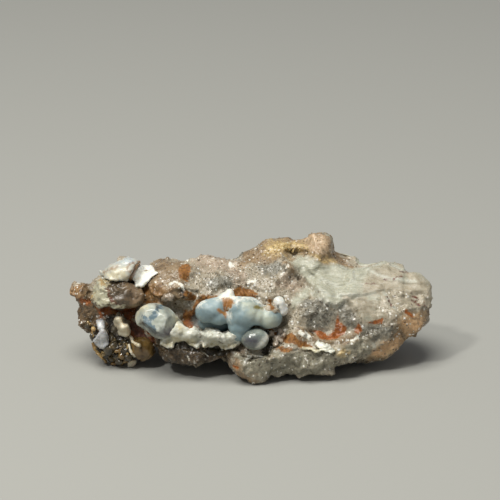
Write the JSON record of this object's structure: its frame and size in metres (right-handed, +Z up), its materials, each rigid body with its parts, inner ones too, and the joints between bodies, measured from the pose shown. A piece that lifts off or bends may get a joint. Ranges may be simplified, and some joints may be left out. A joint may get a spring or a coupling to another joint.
{
  "type": "chalcedony specimen",
  "caption": "Rough chalcedony stone with blue botryoidal lobes, a pale layered fan, a tan crystal ridge and sparkling druse, for display or study.",
  "frame": {"origin": "middle of the stone's box in plan, on the surface that the stone rests on", "axes": "+X along the stone to the right seen from its front, +Y to its back, +Z up"},
  "size_m": [0.062, 0.027, 0.021],
  "materials": {
    "stone": "natural chalcedony and quartz: translucent grey-brown druse, pale green-grey layers, sky-blue and white lobes, orange stains"
  },
  "bodies": {
    "root": {"chalcedony_stone": "stone"}
  },
  "joints": []
}
